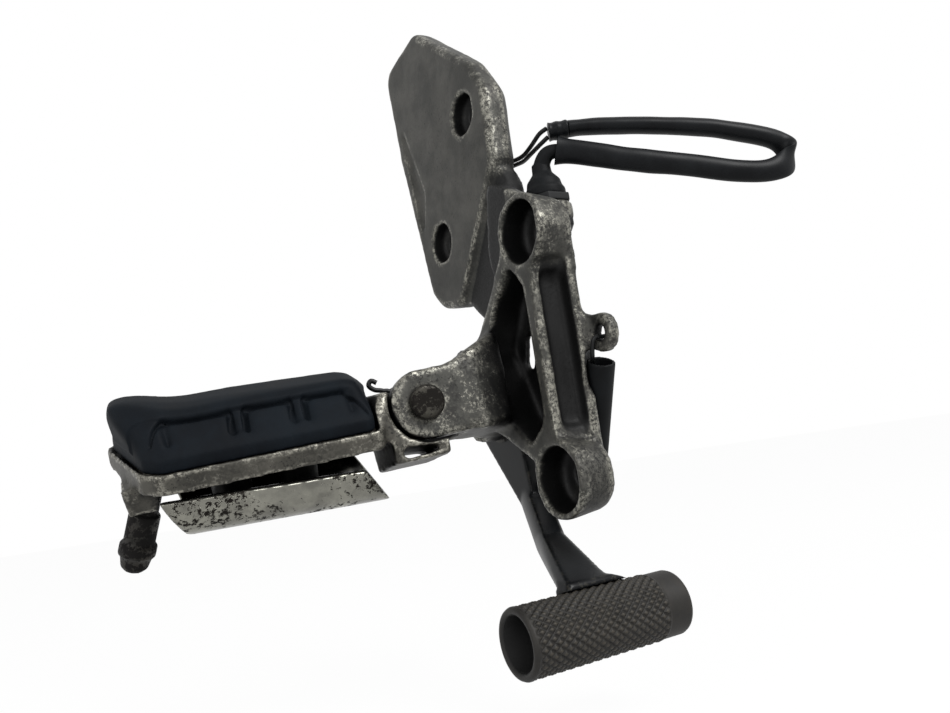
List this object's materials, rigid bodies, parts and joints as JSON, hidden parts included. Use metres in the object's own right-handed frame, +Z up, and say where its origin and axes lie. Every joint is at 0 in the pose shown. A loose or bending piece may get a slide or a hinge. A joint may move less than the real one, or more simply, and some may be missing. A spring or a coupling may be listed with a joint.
{
  "type": "motorcycle footpeg",
  "caption": "Right footrest of a motorcycle: cast bracket with heel guard, folding peg with rubber pad and weight plate, brake pedal with its spring, and brake light switch with its lead.",
  "frame": {"origin": "mid-way between the two frame bolt holes, on the bracket's outer face", "axes": "+X outboard from the machine, +Y forward, +Z up along the line through the two frame bolts"},
  "size_m": [0.2165, 0.1338, 0.2394],
  "materials": {
    "cast_alloy": "weathered, pitted and dull",
    "peg_alloy": "weathered and dull",
    "worn_steel": "dull with light rust",
    "spring_steel": "black, satin",
    "pad_rubber": "matte",
    "bright_steel": "polished, speckled with rust",
    "rusted_steel": "dark, rusted",
    "black_paint": "gloss, worn",
    "dark_steel": "knurled, dark",
    "brass_bush": "dull",
    "sleeve_rubber": "matte",
    "switch_plastic": "satin",
    "lead_vinyl": "satin, creased",
    "wire_vinyl": "satin"
  },
  "bodies": {
    "bracket": {"bracket_casting": "cast_alloy", "hinge_pin": "worn_steel", "pin_washer": "worn_steel", "pin_clip": "worn_steel", "peg_spring": "spring_steel", "pivot_bolt": "worn_steel", "pivot_washer": "worn_steel", "return_spring": "spring_steel", "spring_sleeve": "sleeve_rubber", "switch_body": "switch_plastic", "switch_nut": "switch_plastic", "switch_boot": "sleeve_rubber", "switch_spring": "spring_steel", "lead_sleeve": "lead_vinyl", "lead_tape": "lead_vinyl", "lead_wires": "wire_vinyl", "lead_plug": "switch_plastic"},
    "peg": {"peg_bar": "peg_alloy", "pad_plate": "worn_steel", "rubber_pad": "pad_rubber", "pad_screws": "worn_steel", "weight_plate": "bright_steel", "weight_screws": "worn_steel", "feeler_bolt": "rusted_steel"},
    "pedal": {"brake_pedal": "black_paint", "toe_tube": "dark_steel", "pedal_bush": "brass_bush"},
    "plunger": {"switch_plunger": "worn_steel"}
  },
  "joints": [
    {"name": "peg_fold", "type": "hinge", "parent": "bracket", "child": "peg", "pos_m": [0.0292, -0.0311, -0.011], "axis": [-0.1604, -0.9857, -0.0522], "range_deg": [0, 75], "stiffness_Nm_per_rad": 0.25, "springref_deg": -34.38, "deforming": ["peg_spring"]},
    {"name": "pedal_turn", "type": "hinge", "parent": "bracket", "child": "pedal", "pos_m": [-0.019, -0.054, -0.013], "axis": [-1, 0, 0], "range_deg": [0, 9], "stiffness_Nm_per_rad": 4, "springref_deg": -14.32, "deforming": ["return_spring", "spring_sleeve", "switch_spring"]},
    {"name": "plunger_slide", "type": "slide", "parent": "bracket", "child": "plunger", "axis": [0, 0, -1], "range_m": [0, 0.006]}
  ],
  "couplings": [
    {"joint": "plunger_slide", "follows": "pedal_turn", "m_per_rad": 0.03}
  ]
}
